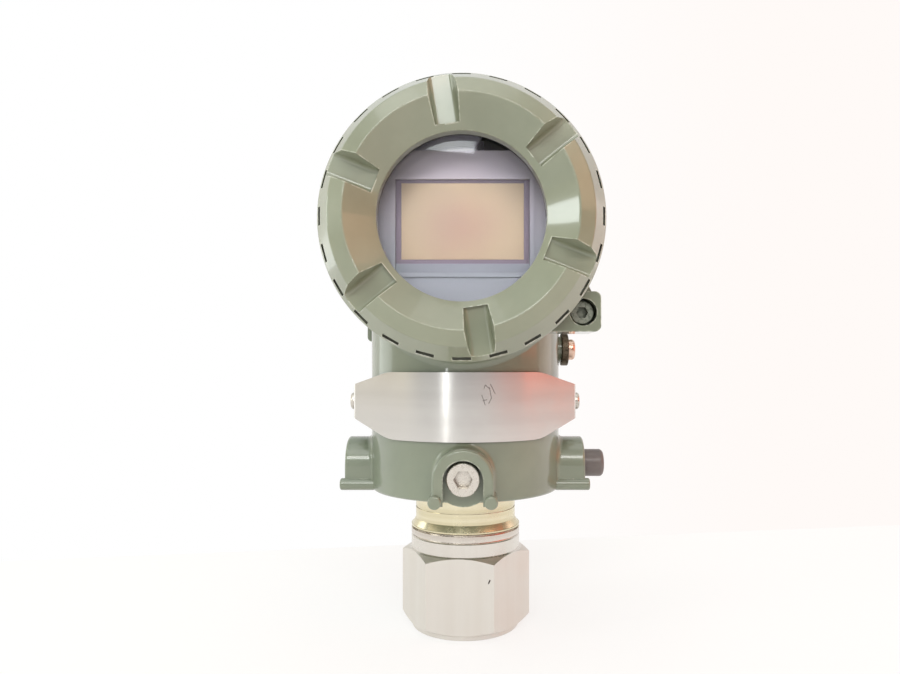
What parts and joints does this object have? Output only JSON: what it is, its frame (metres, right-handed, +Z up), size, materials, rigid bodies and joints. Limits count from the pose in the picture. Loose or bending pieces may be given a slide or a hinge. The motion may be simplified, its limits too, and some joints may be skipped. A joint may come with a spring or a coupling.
{
  "type": "pressure transmitter",
  "caption": "Gauge pressure transmitter: cast grey-green housing with a round windowed cover and display, turning on a stainless hex process connection.",
  "frame": {"origin": "centre of the process port's mouth, on the flat foot of the hex", "axes": "+Z up along the neck, -Y out through the display window, +X to the display's right as it is read"},
  "size_m": [0.0933, 0.1238, 0.1671],
  "materials": {
    "stainless": "satin turned stainless steel",
    "stainless_gold": "turned stainless steel with a straw tint",
    "paint_green": "semi-gloss grey-green baked paint on cast aluminium",
    "plate_steel": "fine brushed stainless sheet",
    "screw_steel": "plated steel",
    "washer_dark": "darkened steel",
    "ground_copper": "coppery plated steel",
    "adjuster_grey": "dark grey, satin",
    "screw_dark": "blackened steel",
    "rubber_black": "black nitrile rubber",
    "board_green": "coated circuit board",
    "plastic_black": "moulded black plastic",
    "plastic_pale": "moulded pale grey plastic",
    "epoxy_black": "cast resin",
    "window_glass": "clear toughened glass with a faint violet cast",
    "aluminium_bare": "machined",
    "display_plastic": "smooth mauve-grey front",
    "screen_cream": "unlit reflective display",
    "brass_plated": "nickel-plated brass"
  },
  "bodies": {
    "base": {"process_adapter": "stainless", "spacer_ring": "stainless", "sensor_body": "stainless_gold", "isolating_diaphragm": "stainless", "neck_o_ring": "rubber_black", "pressure_sensor": "stainless", "sensor_board": "board_green", "sensor_socket": "plastic_black"},
    "housing": {"housing": "paint_green", "nameplate": "plate_steel", "nameplate_screws": "screw_steel", "ground_washer": "washer_dark", "ground_screw": "ground_copper", "clamp_screws": "screw_steel", "conduit_plug": "stainless", "display_case": "display_plastic", "display_screen": "screen_cream", "display_board": "board_green", "display_screws": "screw_steel", "amplifier_case": "plastic_pale", "amplifier_board": "board_green", "amplifier_screws": "screw_steel", "feedthrough": "epoxy_black", "terminal_block": "plastic_black", "terminal_plates": "brass_plated", "terminal_screws": "screw_steel", "block_screws": "screw_steel"},
    "zero_adjust": {"zero_adjust_screw": "adjuster_grey", "zero_adjust_o_ring": "rubber_black"},
    "front_lock": {"front_lock_screw": "screw_dark"},
    "rear_lock": {"rear_lock_screw": "screw_dark"},
    "front_seal": {"front_cover_o_ring": "rubber_black"},
    "front_cover": {"front_cover": "paint_green", "window_gasket": "rubber_black", "front_window": "window_glass", "window_retainer": "aluminium_bare"},
    "rear_seal": {"rear_cover_o_ring": "rubber_black"},
    "rear_cover": {"rear_cover": "paint_green"}
  },
  "joints": [
    {"name": "housing_turn", "type": "hinge", "parent": "base", "child": "housing", "pos_m": [0, 0, 0.0548], "axis": [0, 0, 1], "range_deg": [-180, 180]},
    {"name": "front_cover_travel", "type": "slide", "parent": "housing", "child": "front_seal", "axis": [0, -1, 0], "range_m": [0, 0.0091]},
    {"name": "front_cover_turn", "type": "hinge", "parent": "front_seal", "child": "front_cover", "pos_m": [0, -0.047, 0.1281], "axis": [0, -1, 0], "range_deg": [0, 2160]},
    {"name": "rear_cover_travel", "type": "slide", "parent": "housing", "child": "rear_seal", "axis": [0, 1, 0], "range_m": [0, 0.0091]},
    {"name": "rear_cover_turn", "type": "hinge", "parent": "rear_seal", "child": "rear_cover", "pos_m": [0, 0.047, 0.1281], "axis": [0, 1, 0], "range_deg": [0, 2160]},
    {"name": "zero_adjust_turn", "type": "hinge", "parent": "housing", "child": "zero_adjust", "pos_m": [0.04, 0, 0.0548], "axis": [1, 0, 0], "continuous": true},
    {"name": "front_lock_travel", "type": "slide", "parent": "housing", "child": "front_lock", "axis": [0, -1, 0], "range_m": [0, 0.0037]},
    {"name": "rear_lock_travel", "type": "slide", "parent": "housing", "child": "rear_lock", "axis": [0, 1, 0], "range_m": [0, 0.0037]}
  ],
  "couplings": [
    {"joint": "front_cover_travel", "follows": "front_cover_turn", "m_per_rad": 0.00023873},
    {"joint": "rear_cover_travel", "follows": "rear_cover_turn", "m_per_rad": 0.00023873}
  ]
}
